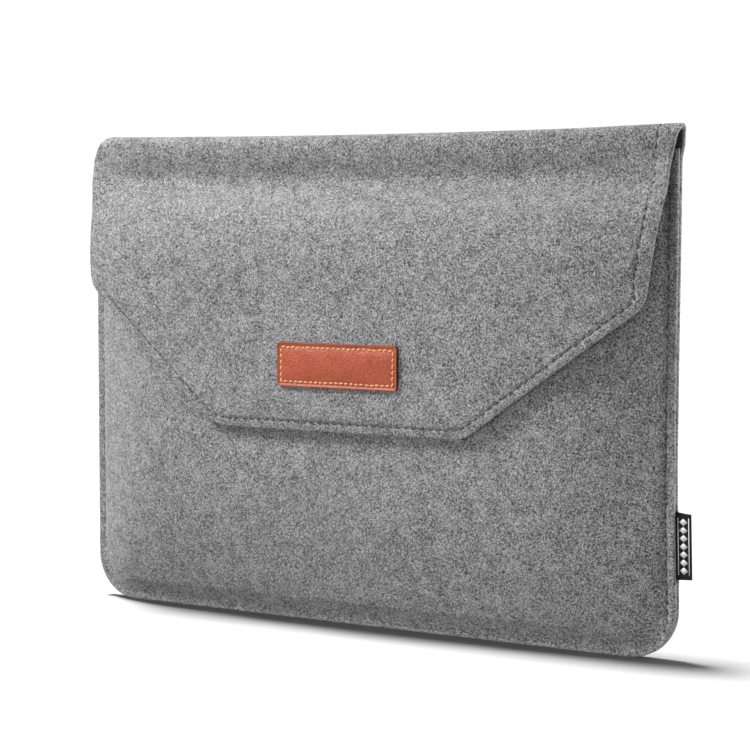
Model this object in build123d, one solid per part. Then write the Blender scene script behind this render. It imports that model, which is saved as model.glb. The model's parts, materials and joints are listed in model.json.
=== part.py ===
from build123d import *
from math import cos, radians, sin
import os

# Envelope-flap laptop sleeve for a 13.3-inch laptop, standing upright on its bottom edge.
# Millimetres. +Z is up, the flap faces -Y, and +X is to the right as one faces the flap.
# "Depth" is measured forward (towards -Y) from the seam plane, where the two linings meet.

# Driving dimensions
WIDTH = 346.0  # across the seam allowances
HEIGHT = 250.0  # floor to the top of the fold
FELT = 2.2  # one layer of wool felt
LINING = 0.8  # one layer of plush lining
POCKET_DEPTH = 16.0  # clear depth between the two linings
SEAM_Y = 8.0  # the seam plane's place, so that y = 0 is the middle of the pocket
CORNER_R = 24.0  # lower corners of the two panels

PLY = FELT + LINING
EDGE_RELIEF = 0.5  # each lining stops this far inside the edge of its felt
HALF_WIDTH = WIDTH / 2
FACING, BEHIND = (0, -1, 0), (0, 1, 0)
FRONT_DEPTH = POCKET_DEPTH + PLY  # outer face of the front panel

# Side seams
SEAM_BAND = 7.0  # flat border from the panel's edge to the foot of the front panel's side wall
STITCH_INSET = 4.6  # stitch row from the panel's edge
SIDE_SLOPE = 11.0  # how far a side wall leans in over the pocket's depth
SEAM_TOP = 240.0  # top of the side seams
TOP_HALF_WIDTH = 171.5  # the felt is a little narrower over the fold
MOUTH_TOP = 227.0  # the front panel's edge, at its outer face

# Fold and flap. The felt turns over three creases to hang in front of the pocket.
FOLD_TURN = 69.0  # degrees at each of the two top creases
RIDGE_TURN = 180.0 - 2 * FOLD_TURN
FOLD_WIDTH = 7.0  # strip between the two top creases
TAPE = 1.2  # thickness of one hook or loop tape
TAPE_GAP = 0.1
FLAP_DEPTH = FRONT_DEPTH + 2 * TAPE + TAPE_GAP + PLY  # outer face of the closed flap
FLAP_BOTTOM = 100.0
FLAP_EDGE_HALF = 70.0  # half of the flap's straight lower edge
FLAP_SHOULDER_Z = 166.5  # where its sides turn into the diagonals
FLAP_SHOULDER_HALF = 164.0
FLAP_CORNER_R = 14.0

# Trim
PATCH_SIZE = (73.0, 22.0)
PATCH_Z = 133.5
PATCH_THICK = 1.3
TAPE_SIZE = (40.0, 20.0)
TAPE_X = 42.0
TAPE_Z = 119.0
LABEL_BOTTOM, LABEL_TOP = 39.0, 70.0
LABEL_OUT = 8.5  # how far the label stands out of the seam
RIBBON = 0.7
RIBBON_GAP = 0.2
LABEL_THICK = 2 * RIBBON + RIBBON_GAP
LABEL_PIVOT_X = HALF_WIDTH + 0.6
LABEL_START_X = LABEL_PIVOT_X + 0.4
TAIL_LENGTH = 5.0  # the part of the ribbon inside the seam
TAIL_RELIEF = 0.2

# Thread. A stitch is a short bar that stands out of the surface.
THREAD = 0.25
SEAM_PITCH, SEAM_STITCH, SEAM_THREAD = 4.6, 3.4, 0.6
TAPE_PITCH, TAPE_STITCH, TAPE_THREAD = 3.0, 2.2, 0.4
PATCH_PITCH, PATCH_STITCH = 3.3, 2.4
FLAP_STITCH_INSET = 6.0
TAPE_STITCH_INSET = 1.5
PATCH_STITCH_INSET = 2.5
MOUTH_STITCH_INSET = 6.0


def y_of(depth):
    """The y of a depth in front of the seam plane."""
    return SEAM_Y - depth


def upright(depth):
    """A sketch plane parallel to the panels, at that depth, whose normal faces the front."""
    return Plane(origin=(0, y_of(depth), 0), x_dir=(1, 0, 0), z_dir=(0, -1, 0))


def layer(sketch, back, front):
    """A flat layer of that outline, between two depths."""
    return extrude(upright(back) * sketch, amount=front - back)


def side_prism(points, half_width):
    """A solid with the same (depth, z) section all the way across."""
    section = Polygon(*[(y_of(d), z) for d, z in points], align=None)
    return extrude(Plane.YZ * section, amount=half_width, both=True)


def rounded_panel(half_width, bottom, top, radius):
    """A rectangle with its two lower corners rounded."""
    blank = Pos(0, (bottom + top) / 2) * Rectangle(2 * half_width, top - bottom)
    return fillet(blank.vertices().sort_by(Axis.Y)[:2], radius)


def crease_points(offset):
    """The three creases as (depth, z), on the surface that lies that far inside the felt's outer face."""
    lean = radians(FOLD_TURN)
    roof = radians(2 * FOLD_TURN)
    top = (-PLY + FOLD_WIDTH * sin(lean), HEIGHT)
    first = (-PLY, HEIGHT - FOLD_WIDTH * cos(lean))
    roof_length = (FLAP_DEPTH - top[0]) / sin(roof)
    ridge = (FLAP_DEPTH, HEIGHT + roof_length * cos(roof))
    creases = []
    turned = 0.0
    for (depth, z), turn in zip((first, top, ridge), (FOLD_TURN, FOLD_TURN, RIDGE_TURN)):
        middle = radians(turned + turn / 2)
        reach = offset / cos(radians(turn / 2))
        creases.append((depth + reach * cos(middle), z - reach * sin(middle)))
        turned += turn
    return creases


def sheet_section(start, end, outer, inner):
    """The section of one strip of the folded sheet, between two creases and two offsets."""
    a, b = crease_points(outer), crease_points(inner)
    return [a[start], a[end], b[end], b[start]]


def flap_outline(inset=0.0):
    """The closed flap seen from the front: a trapezium on a tapering band, with rounded corners."""
    top = HEIGHT + 10.0
    points = [
        (-TOP_HALF_WIDTH + inset, top),
        (-FLAP_SHOULDER_HALF + inset, FLAP_SHOULDER_Z + inset * 0.55),
        (-FLAP_EDGE_HALF + inset * 0.3, FLAP_BOTTOM + inset),
        (FLAP_EDGE_HALF - inset * 0.3, FLAP_BOTTOM + inset),
        (FLAP_SHOULDER_HALF - inset, FLAP_SHOULDER_Z + inset * 0.55),
        (TOP_HALF_WIDTH - inset, top),
    ]
    blank = Polygon(*points, align=None)
    return fillet(blank.vertices().sort_by(Axis.Y)[:4], FLAP_CORNER_R - inset)


def flap_sheet(outer, inner, inset=0.0):
    """One layer of the hanging flap, from the ridge crease to its lower edge."""
    outer_ridge, inner_ridge = crease_points(outer)[2], crease_points(inner)[2]
    slab = side_prism(
        [
            outer_ridge,
            (outer_ridge[0], FLAP_BOTTOM - 5),
            (inner_ridge[0], FLAP_BOTTOM - 5),
            inner_ridge,
        ],
        TOP_HALF_WIDTH + 5,
    )
    return slab & layer(flap_outline(inset), 0, FLAP_DEPTH + 5)


def back_sheet(front, back, inset=0.0):
    """One layer of the back panel, up to the first crease, with clipped shoulders beside the fold."""
    first_front, first_back = crease_points(front + PLY)[0], crease_points(back + PLY)[0]
    top = HEIGHT + 5
    outline = rounded_panel(HALF_WIDTH - inset, inset, top, CORNER_R - inset)
    shoulder = Polygon(
        (TOP_HALF_WIDTH - inset, top + 1),
        (TOP_HALF_WIDTH - inset, SEAM_TOP + 4),
        (HALF_WIDTH + 1, SEAM_TOP - 1),
        (HALF_WIDTH + 1, top + 1),
        align=None,
    )
    outline = outline - shoulder - mirror(shoulder, about=Plane.YZ)
    below_crease = side_prism(
        [(back, -1), (front, -1), first_front, first_back], HALF_WIDTH + 1
    )
    return layer(outline, back, front) & below_crease


def tray(inset):
    """The block that the front panel covers, shrunk by an inset: steep sides and a flat foot."""
    half = HALF_WIDTH - SEAM_BAND - inset
    foot = rounded_panel(half, inset, HEIGHT, CORNER_R - inset)
    face = rounded_panel(half - SIDE_SLOPE, inset, HEIGHT, CORNER_R - inset)
    return loft([upright(0) * foot, upright(FRONT_DEPTH - inset) * face])


def under_the_flap():
    """Everything below the pocket's mouth, whose edge runs parallel to the sloping roof of the flap."""
    slope = cos(radians(RIDGE_TURN)) / sin(radians(RIDGE_TURN))
    reach = FRONT_DEPTH + 5
    return side_prism(
        [
            (-10, -5),
            (reach, -5),
            (reach, MOUTH_TOP - 5 * slope),
            (FRONT_DEPTH - (SEAM_TOP - MOUTH_TOP) / slope, SEAM_TOP),
            (-10, SEAM_TOP),
        ],
        HALF_WIDTH + 5,
    )


def front_layers():
    """The front panel and its lining: each is a border, sewn to the back, round a tray."""
    below = under_the_flap()
    outline = rounded_panel(HALF_WIDTH, 0, HEIGHT, CORNER_R)
    felt = (layer(outline, 0, PLY) + tray(0)) - tray(FELT)
    felt = felt & layer(outline, LINING, FRONT_DEPTH)
    lining_outline = rounded_panel(HALF_WIDTH - EDGE_RELIEF, 1, HEIGHT, CORNER_R - 1)
    lining = (layer(lining_outline, 0, LINING) + tray(FELT)) - tray(PLY)
    return felt & below, lining & below


def label_slot():
    """The gap that the label's tail needs between the two felts of the side seam."""
    start = HALF_WIDTH - TAIL_RELIEF - TAIL_LENGTH
    height = LABEL_TOP - LABEL_BOTTOM + 2 * TAIL_RELIEF
    blank = Box(TAIL_LENGTH + 1, 2 * LINING, height, align=(Align.MIN, Align.CENTER, Align.MIN))
    return Pos(start - TAIL_RELIEF, SEAM_Y, LABEL_BOTTOM - TAIL_RELIEF) * blank


def label_tail():
    """The two ends of the ribbon, held by the side seam."""
    height = LABEL_TOP - LABEL_BOTTOM
    start = HALF_WIDTH - TAIL_RELIEF - TAIL_LENGTH
    tail = Box(TAIL_LENGTH, LABEL_THICK, height, align=(Align.MIN, Align.CENTER, Align.MIN))
    return Pos(start, SEAM_Y, LABEL_BOTTOM) * tail


def label_tab():
    """The ribbon outside the seam: two plies that meet in a round fold."""
    straight = HALF_WIDTH + LABEL_OUT - LABEL_THICK / 2 - LABEL_START_X
    middle = Pos(LABEL_START_X + straight / 2, SEAM_Y)
    end = Pos(LABEL_START_X + straight, SEAM_Y)
    outside = middle * Rectangle(straight, LABEL_THICK) + end * Circle(LABEL_THICK / 2)
    inside = middle * Rectangle(straight, RIBBON_GAP) + end * Circle(RIBBON_GAP / 2)
    tab = extrude(outside - inside, amount=LABEL_TOP - LABEL_BOTTOM)
    return Pos(0, 0, LABEL_BOTTOM) * tab


def stitches(path, normal, pitch=SEAM_PITCH, length=SEAM_STITCH, width=SEAM_THREAD):
    """One short bar of thread for each stitch along an edge, on the surface with that normal."""
    count = int(path.length / pitch)
    blank = Box(length, width, THREAD, align=(Align.CENTER, Align.CENTER, Align.MIN))
    bars = []
    for i in range(count):
        at = (i + 0.5) / count
        seat = Plane(origin=path @ at, x_dir=path % at, z_dir=normal)
        bars += (seat * blank).solids()
    return bars


def rectangle_edges(size, inset, centre, depth):
    """The four edges of the stitch line round a patch, on the surface at that depth."""
    line = Rectangle(size[0] - 2 * inset, size[1] - 2 * inset)
    return (upright(depth) * (Pos(*centre) * line)).edges()


def seam_thread():
    """The stitches of the two side seams, on the border of the front panel."""
    x = HALF_WIDTH - STITCH_INSET
    y = y_of(PLY)
    bars = []
    for side in (-1, 1):
        path = Line((side * x, y, CORNER_R), (side * x, y, SEAM_TOP - 4))
        bars += stitches(path, FACING)
    return Compound(children=bars)


def mouth_thread():
    """The row below the pocket's mouth that holds the felt and its lining together."""
    half = HALF_WIDTH - SEAM_BAND - SIDE_SLOPE - 5
    y = y_of(FRONT_DEPTH)
    z = MOUTH_TOP - MOUTH_STITCH_INSET
    return Compound(children=stitches(Line((-half, y, z), (half, y, z)), FACING))


def flap_thread():
    """The row that follows the hanging flap's edge, from one end of the ridge to the other."""
    outline = upright(FLAP_DEPTH) * flap_outline(FLAP_STITCH_INSET)
    ridge_z = crease_points(0)[2][1]
    bars = []
    for edge in outline.edges():
        if edge.center().Z < HEIGHT:
            bars += stitches(edge, FACING)
    return Compound(children=[bar for bar in bars if bar.center().Z < ridge_z - 3])


def roof_thread():
    """The same row where it climbs from the ridge to the fold."""
    top, ridge = [Vector(0, y_of(depth), z) for depth, z in crease_points(0)[1:]]
    tilt = radians(RIDGE_TURN)
    bars = []
    for side in (-1, 1):
        out = Vector(side * (TOP_HALF_WIDTH - FLAP_STITCH_INSET), 0, 0)
        path = Line(out + ridge + (top - ridge) * 0.06, out + ridge + (top - ridge) * 0.94)
        bars += stitches(path, (0, -cos(tilt), sin(tilt)))
    return Compound(children=bars)


def tape(side, back):
    """A rectangle of hook or loop tape."""
    sketch = Pos(side * TAPE_X, TAPE_Z) * RectangleRounded(*TAPE_SIZE, 1.5)
    return layer(sketch, back, back + TAPE)


def tape_thread(depth, normal):
    """The box stitching round both tapes."""
    bars = []
    for side in (-1, 1):
        centre = (side * TAPE_X, TAPE_Z)
        for edge in rectangle_edges(TAPE_SIZE, TAPE_STITCH_INSET, centre, depth):
            bars += stitches(edge, normal, TAPE_PITCH, TAPE_STITCH, TAPE_THREAD)
    return bars


def sunk(shape, bars):
    """The shape with a groove for each stitch, so that the thread lies flush in it."""
    return shape - Compound(children=bars)


def leather_patch():
    """The plain leather patch on the flap, with an eased front edge."""
    sketch = Pos(0, PATCH_Z) * RectangleRounded(*PATCH_SIZE, 2.5)
    plate = layer(sketch, FLAP_DEPTH, FLAP_DEPTH + PATCH_THICK)
    return chamfer(plate.faces().sort_by(Axis.Y)[0].edges(), 0.5)


def patch_thread():
    """The contrasting stitches round the leather patch."""
    bars = []
    front = FLAP_DEPTH + PATCH_THICK
    for edge in rectangle_edges(PATCH_SIZE, PATCH_STITCH_INSET, (0, PATCH_Z), front):
        bars += stitches(edge, FACING, PATCH_PITCH, PATCH_STITCH)
    return Compound(children=bars)


def build():
    """Every node of the sleeve, by name."""
    front_felt, front_lining = front_layers()
    slot = label_slot()
    fold_half = TOP_HALF_WIDTH
    hook_back = FLAP_DEPTH - PLY - TAPE
    loop_bars = tape_thread(FRONT_DEPTH + TAPE - THREAD, FACING)
    hook_bars = tape_thread(hook_back + THREAD, BEHIND)
    nodes = {
        "back_panel": back_sheet(-LINING, -PLY),
        "back_lining": back_sheet(0, -LINING, inset=EDGE_RELIEF) - slot,
        "front_panel": front_felt,
        "front_lining": front_lining - slot,
        "fold_felt": side_prism(sheet_section(0, 1, 0, FELT), fold_half),
        "fold_lining": side_prism(sheet_section(0, 1, FELT, PLY), fold_half - EDGE_RELIEF),
        "roof_felt": side_prism(sheet_section(1, 2, 0, FELT), fold_half),
        "roof_lining": side_prism(sheet_section(1, 2, FELT, PLY), fold_half - EDGE_RELIEF),
        "flap_felt": flap_sheet(0, FELT),
        "flap_lining": flap_sheet(FELT, PLY, inset=EDGE_RELIEF),
        "leather_patch": leather_patch(),
        "leather_patch_thread": patch_thread(),
        "flap_edge_thread": flap_thread(),
        "roof_edge_thread": roof_thread(),
        "side_seam_thread": seam_thread(),
        "mouth_thread": mouth_thread(),
        "loop_tape_thread": Compound(children=loop_bars),
        "hook_tape_thread": Compound(children=hook_bars),
        "label_tail": label_tail(),
        "side_label": label_tab(),
    }
    for name, side in (("left", -1), ("right", 1)):
        loops = [bar for bar in loop_bars if bar.center().X * side > 0]
        hooks = [bar for bar in hook_bars if bar.center().X * side > 0]
        nodes[f"loop_tape_{name}"] = sunk(tape(side, FRONT_DEPTH), loops)
        nodes[f"hook_tape_{name}"] = sunk(tape(side, hook_back), hooks)
    return nodes


if __name__ == "__main__":
    os.makedirs("parts", exist_ok=True)
    for node, shape in build().items():
        export_step(shape, f"parts/{node}.step")
    for name, (depth, z) in zip(("fold", "roof", "flap"), crease_points(0)):
        print(f"hinge of {name}: y {y_of(depth):.3f} z {z:.3f}")
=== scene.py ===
import json
import math

import bpy
import numpy as np
from mathutils import Matrix, Vector

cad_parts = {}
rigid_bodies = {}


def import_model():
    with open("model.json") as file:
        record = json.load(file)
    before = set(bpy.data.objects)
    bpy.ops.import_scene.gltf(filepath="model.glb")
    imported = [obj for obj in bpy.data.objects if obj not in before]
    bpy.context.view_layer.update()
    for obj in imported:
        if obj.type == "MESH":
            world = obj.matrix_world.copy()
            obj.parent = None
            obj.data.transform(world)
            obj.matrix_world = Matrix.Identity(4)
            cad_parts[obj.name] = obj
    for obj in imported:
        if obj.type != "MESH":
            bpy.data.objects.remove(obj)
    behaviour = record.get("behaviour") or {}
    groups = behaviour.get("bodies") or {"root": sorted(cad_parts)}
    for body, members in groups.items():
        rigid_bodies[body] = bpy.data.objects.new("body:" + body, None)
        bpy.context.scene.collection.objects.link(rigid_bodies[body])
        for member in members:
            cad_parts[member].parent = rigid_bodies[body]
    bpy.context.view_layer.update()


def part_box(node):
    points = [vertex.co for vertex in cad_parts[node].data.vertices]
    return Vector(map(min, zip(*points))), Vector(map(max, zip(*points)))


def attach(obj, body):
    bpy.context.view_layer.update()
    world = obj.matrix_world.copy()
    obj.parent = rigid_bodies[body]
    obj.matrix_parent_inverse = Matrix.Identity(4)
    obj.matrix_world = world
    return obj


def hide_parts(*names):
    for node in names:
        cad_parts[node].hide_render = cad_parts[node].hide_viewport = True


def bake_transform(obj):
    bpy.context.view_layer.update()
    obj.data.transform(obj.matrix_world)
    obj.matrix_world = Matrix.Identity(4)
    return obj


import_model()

# Felt envelope sleeve. Lengths here are in millimetres until a mesh is made.
# "Depth" is measured towards the front from the seam plane, where the two linings meet.

MM = 0.001


def box_mm(node):
    """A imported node's lowest and highest corners in millimetres, to a hundredth."""
    return [[round(c * 1000, 2) for c in corner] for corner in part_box(node)]


def middle_mm(node):
    low, high = box_mm(node)
    return [round((a + b) / 2, 2) for a, b in zip(low, high)]


def thickness_mm(node):
    low, high = box_mm(node)
    return round(high[1] - low[1], 2)


SEAM_Y = box_mm("front_lining")[1][1]
HALF_WIDTH = box_mm("back_panel")[1][0]
CORNER_R = 24.0
FELT, LINING = thickness_mm("back_panel"), thickness_mm("back_lining")
PLY = FELT + LINING
LINING_INSET = 0.5  # the lining is cut this much smaller all round
SEAM_TOP = box_mm("front_panel")[1][2]

# The felt goes up the back, round a roll along the top, and down the front as the flap.
ROLL_R = 5.1
ROLL_DEPTH, ROLL_Z = 2.1, 244.0
ROLL_LENGTH = math.pi * ROLL_R
CREST = ROLL_Z + ROLL_LENGTH / 2
UNROLLED = 2 * ROLL_Z + ROLL_LENGTH
FIRST_TURN = 69.0  # degrees of the roll that belong to the back sheet
BACK_END = ROLL_Z + ROLL_R * math.radians(FIRST_TURN)
ROOF_SPLIT_Z = 231.0  # where the top sheet ends and the flap sheet begins
TOP_HALF = box_mm("roof_felt")[1][0]
FLAP_END = 172.0  # where the flap's shape has changed fully from its middle's to its ends'
FLAP_BOTTOM = box_mm("flap_felt")[0][2]
SHOULDER_HALF = 164.0
SHOULDER_ZS = {1: 166.5, -1: 171.5}  # the cut isn't quite even: right side, left side
EDGE_HALVES = {1: 70.0, -1: 80.0}  # half the lower edge's width, on each side
FLAP_CORNER_R = 15.0

# Front panel
FLANGE = 4.8  # the sewn border's width up the sides
LOW_FLANGE = 1.2  # and along the bottom
BULGE = 17.3  # how far its middle would stand out from the border, were it not for the flap
MOUTH_Z = 217.0

STITCH_INSET, LOW_STITCH_INSET = 4.3, 2.2  # up the seams, and along the bottom
FLAP_STITCH_INSET, SIDE_STITCH_INSET = 4.5, 6.8  # along the flap's lower edges, and up its sides
MOUTH_STITCH_INSET = 6.0
PITCH = 4.6
STITCH_SINK = 0.65  # how deep a stitch's ends go

PATCH = dict(x=0.5, z=middle_mm("leather_patch")[2], width=71.4, height=22.2, corner=1.8)
PATCH_STITCH_INSET = 2.5
SIDES = ("left", "right")
TAPE = dict(z=middle_mm("loop_tape_left")[2], width=40.0, height=20.0, corner=2.0)
TAPE_XS = [middle_mm(f"loop_tape_{side}")[0] for side in SIDES]
TAPE_STITCH_INSET = 2.0
LABEL_Z, LABEL_HALF = middle_mm("side_label")[2], 16.0


def smooth(t):
    t = np.clip(t, 0.0, 1.0)
    return t * t * (3 - 2 * t)


def world(x, depth, z):
    """Points in metres in the model's frame. The right edge is a little hollow half-way up."""
    x, depth, z = np.broadcast_arrays(x, depth, z)
    wider = 0.8 * smooth((z - 90) / 150) + 1.4 * smooth((95 - z) / 80)
    x = x + wider * np.clip(x / HALF_WIDTH, 0, None)
    return np.stack([x, SEAM_Y - depth, z], axis=-1) * MM


# Six long waves and three short ones, so that no panel is perfectly even. Each has how fast it
# turns across and up, in radians a millimetre, its phase and its height.
WAVES = [
    (0.031, 0.052, 0.4, 0.30),
    (-0.047, 0.029, 1.9, 0.24),
    (0.072, -0.018, 3.1, 0.17),
    (0.018, 0.091, 5.2, 0.15),
    (-0.083, -0.062, 2.6, 0.10),
    (0.118, 0.047, 0.9, 0.07),
    (0.41, -0.23, 4.4, 0.045),
    (-0.29, 0.52, 2.2, 0.045),
    (0.63, 0.38, 1.1, 0.03),
]


def unit(v):
    return v / np.linalg.norm(v, axis=-1, keepdims=True)


def ripple(x, z, seed):
    """The waves' height, which differs from one panel's seed to another's."""
    total = np.zeros(np.broadcast(x, z).shape)
    for kx, kz, phase, height in WAVES:
        total = total + height * np.sin(kx * x + kz * z + phase + 1.7 * seed)
    return total


def profile(points, step=0.25, blur=9):
    """A smooth curve of depth by height through a few (z, depth) points."""
    points = sorted(points)
    z = np.arange(points[0][0], points[-1][0] + step, step)
    d = np.interp(z, [p[0] for p in points], [p[1] for p in points])
    kernel = np.hanning(2 * blur + 3)[1:-1]
    kernel /= kernel.sum()
    padded = np.concatenate([np.full(blur, d[0]), d, np.full(blur, d[-1])])
    return z, np.convolve(padded, kernel, mode="valid")


# The flap's outer face as (height, depth), seen from the side: the hanging flap, the ridge, a ramp
# over the pocket's mouth, a valley, and up to the roll.
FLAP_MIDDLE = profile([
    (90, 24.0), (105, 24.3), (140, 24.6), (178, 25.0),
    (187, 24.8), (192, 24.3), (197, 23.4), (201, 22.1),
    (205, 20.2), (209, 17.7), (213, 14.5), (217, 10.9),
    (220, 8.1), (223, 5.7), (225, 4.6), (227, 4.3), (229, 4.5),
    (233, 5.6), (237, 6.7), (240, 7.2), (244, 7.2), (250, 7.2),
])
FLAP_ENDS = profile([
    (90, 22.0), (140, 20.6), (167, 18.6), (190, 16.4),
    (205, 14.4), (215, 12.6), (222, 10.9), (228, 8.6),
    (232, 7.1), (236, 6.4), (240, 6.8), (244, 7.2), (250, 7.2),
])


def flap_depth(x, z):
    """The outer face of the closed flap. The tapes under it make it stand out a little."""
    middle = np.interp(z, *FLAP_MIDDLE)
    ends = np.interp(z, *FLAP_ENDS)
    share = 1 - np.clip(np.abs(x) / FLAP_END, 0, 1) ** 9
    tapes = 1.7 * smooth((112 - np.abs(x)) / 50) * smooth((z - 99) / 12) * smooth((172 - z) / 40)
    calm = smooth((240 - z) / 20)
    return ends + (middle - ends) * share + tapes + 0.45 * calm * ripple(x, z, 1.0)


def seam_distance(x, z):
    """Distance inside the sewn edge: the two sides, the bottom and its round corners."""
    a = np.maximum(np.abs(x) - (HALF_WIDTH - CORNER_R), 0)
    b = np.maximum(CORNER_R - z, 0)
    inside = np.minimum(HALF_WIDTH - np.abs(x), z)
    return np.where((a > 0) | (b > 0), CORNER_R - np.hypot(a, b), inside)


def pressed(edge):
    """How much the seams squeeze the lining, near an edge."""
    return 0.55 * smooth((6.5 - edge) / 3)


def label_swell(x, z):
    """The seam stands open by the ribbon's thickness where the label is sewn in."""
    return 0.5 * smooth((x - 160) / 8) * smooth((LABEL_HALF + 3 - np.abs(z - LABEL_Z)) / 4)


def soft_min(a, b, k):
    """The lesser of two values, rounded over where they are within about k of each other."""
    return -k * np.logaddexp(-a / k, -b / k)


def border(z):
    """How much of the sewn border's width shows, from the bottom up to the sides."""
    return smooth((z - 3) / 24)


def front_depth(x, z):
    """The outer face of the front panel: a flat sewn border round a soft bulge, pressed by the flap."""
    from_side = HALF_WIDTH - np.abs(x)
    from_bottom = FLANGE + 0.75 * (z - LOW_FLANGE)
    inside = soft_min(from_side, from_bottom, 10.1)
    share = np.clip((inside - FLANGE) / 62.0, 0, 1)
    bowl = 1 - (1 - share) ** 2
    rise = 0.2 * np.sqrt(bowl) + 0.8 * bowl
    flange = LOW_FLANGE + (FLANGE - LOW_FLANGE) * border(z)
    foot = smooth((seam_distance(x, z) - flange + 0.3) / (3.2 + 10 * (1 - border(z))))
    droop = 1 - 0.13 * smooth((z - 120) / 110)
    calm = smooth((inside - 8) / 25)
    flat = PLY - pressed(seam_distance(x, z))
    free = flat + BULGE * rise * foot * droop + 0.5 * calm * ripple(x, z, 2.0)
    limit = np.maximum(flap_depth(x, z) - PLY - 0.5, PLY + 0.2)  # 0.5 under the flap's lining
    return np.maximum(soft_min(free, limit, 0.5), flat) + label_swell(x, z)


def mouth_z(x):
    """The front panel's upper edge: high at the seams, lower in front."""
    return MOUTH_Z + (SEAM_TOP - 1 - MOUTH_Z) * smooth((np.abs(x) - 138) / 34)


def back_depth(x, z):
    """The outer face of the back panel, a little rounded behind."""
    from_side = HALF_WIDTH - np.abs(x)
    swell = 1.6 * smooth((from_side - 5) / 60) * smooth((z - 5) / 60) * smooth((246 - z) / 70)
    calm = smooth((seam_distance(x, z) - 6) / 20) * smooth((240 - z) / 25)
    seam = pressed(seam_distance(x, z)) * smooth((SEAM_TOP + 2 - z) / 6)
    return seam - PLY - swell + 0.35 * calm * ripple(x, z, 3.0) - label_swell(x, z)


def top_lift(x, z):
    """The top edge sags between its ends. Its left end droops and its right end stands up a little."""
    sag = 0.9 - 1.6 * (1 - (x / FLAP_END) ** 2)
    left_droop = 1.3 * smooth((-x - 158) / 14)
    right_rise = 0.6 * smooth((x - 110) / 60)
    return (sag - left_droop + right_rise) * smooth((z - 205) / 40)


def sheet_point(x, s):
    """The long sheet's outer face, s being the way up the back, round the roll and down the front."""
    turn = np.clip((s - ROLL_Z) / ROLL_R, 0, math.pi)
    z = np.minimum(np.minimum(s, ROLL_Z), UNROLLED - s)
    roll = ROLL_DEPTH - ROLL_R * np.cos(turn)
    depth = np.where(turn <= 0, back_depth(x, z), np.where(turn < math.pi, roll, flap_depth(x, z)))
    return world(x, depth, z + ROLL_R * np.sin(turn) + top_lift(x, z))


def panel_point(x, z):
    return world(x, front_depth(x, z), z)


def flare(x, s):
    """How far the roll's ends stand out at the right and draw in at the left."""
    away = np.abs(s - CREST)
    front = s > CREST
    right = 3.8 * (1 - smooth(away / np.where(front, 26, 22)))
    shoulder = 2.2 * np.exp(-(((s - CREST - 27) / 13) ** 2))
    left = shoulder - 6.5 * (1 - smooth(away / np.where(front, 17, 20)))
    return np.where(x > 0, right, left)


def stitch_inset(x, s):
    """From the flap's cut edge to its stitches, which don't follow the flare."""
    sides = smooth((UNROLLED - s - 165) / 15)
    inset = FLAP_STITCH_INSET + (SIDE_STITCH_INSET - FLAP_STITCH_INSET) * sides
    return inset + np.maximum(flare(x, s), 0)


def grip(x, s):
    """How hard the flap's stitches pull the felt in. Up the left side they sink into its pile."""
    return 1 - 0.95 * smooth((UNROLLED - s - 160) / 16) * (x < 0)


def seam_inset(z):
    """From the panels' sewn edge to their stitches."""
    return LOW_STITCH_INSET + (STITCH_INSET - LOW_STITCH_INSET) * border(z)


def drift(s):
    """The flap hangs a little to the right."""
    return 1.8 * smooth((s - UNROLLED + 238) / 22)


def surface(point, x, v, side=1.0, e=0.4):
    """Points on a face, and its normals there over a reach of e. side is -1 where they point in."""
    du = point(x + e, v) - point(x - e, v)
    dv = point(x, v + e) - point(x, v - e)
    return point(x, v), unit(np.cross(dv, du) * side)


# --- Outlines ---


def rounded(points, radii, steps=12):
    """A polyline whose inner corners are arcs."""
    out = [np.array(points[0], float)]
    for i in range(1, len(points) - 1):
        p, a, b = (np.array(q, float) for q in (points[i], points[i - 1], points[i + 1]))
        u, v = (a - p) / np.linalg.norm(a - p), (b - p) / np.linalg.norm(b - p)
        half = math.acos(float(np.clip(u @ v, -1, 1))) / 2
        reach = radii[i] / math.tan(half)
        centre = p + (u + v) / np.linalg.norm(u + v) * radii[i] / math.sin(half)
        start, end = p + u * reach - centre, p + v * reach - centre
        turn = math.atan2(start[0] * end[1] - start[1] * end[0], start @ end)
        for t in np.linspace(0, turn, steps):
            c, s = math.cos(t), math.sin(t)
            out.append(centre + np.array([start[0] * c - start[1] * s, start[0] * s + start[1] * c]))
    out.append(np.array(points[-1], float))
    return np.array(out)


def flap_edge(side):
    """One half of the flap's cut edge, as if it lay in the right half."""
    corners = [(TOP_HALF, 262), (TOP_HALF, 247), (SHOULDER_HALF, SHOULDER_ZS[side])]
    corners += [(EDGE_HALVES[side], FLAP_BOTTOM), (0, FLAP_BOTTOM)]
    return rounded(corners, [0, 30, FLAP_CORNER_R, 24, 0])


FLAP_EDGES = {side: flap_edge(side) for side in (1, -1)}


def flap_half_width(z, side):
    edge = FLAP_EDGES[side][::-1]
    keep = edge[:, 1] > FLAP_BOTTOM + 1e-6
    first = edge[~keep][-1]
    xs = np.concatenate([[first[0]], edge[keep][:, 0]])
    zs = np.concatenate([[FLAP_BOTTOM], edge[keep][:, 1]])
    return np.interp(z, zs, xs)


def panel_half_width(z):
    """The back panel's half-width, with round lower corners, a little narrower at its top."""
    drop = np.clip(CORNER_R - z, 0, CORNER_R)
    lower = HALF_WIDTH - CORNER_R + np.sqrt(np.maximum(CORNER_R**2 - drop**2, 0))
    upper = TOP_HALF + (HALF_WIDTH - TOP_HALF) * smooth((245 - z) / 7)
    return np.minimum(lower, np.where(z > 200, upper, HALF_WIDTH))


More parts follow.
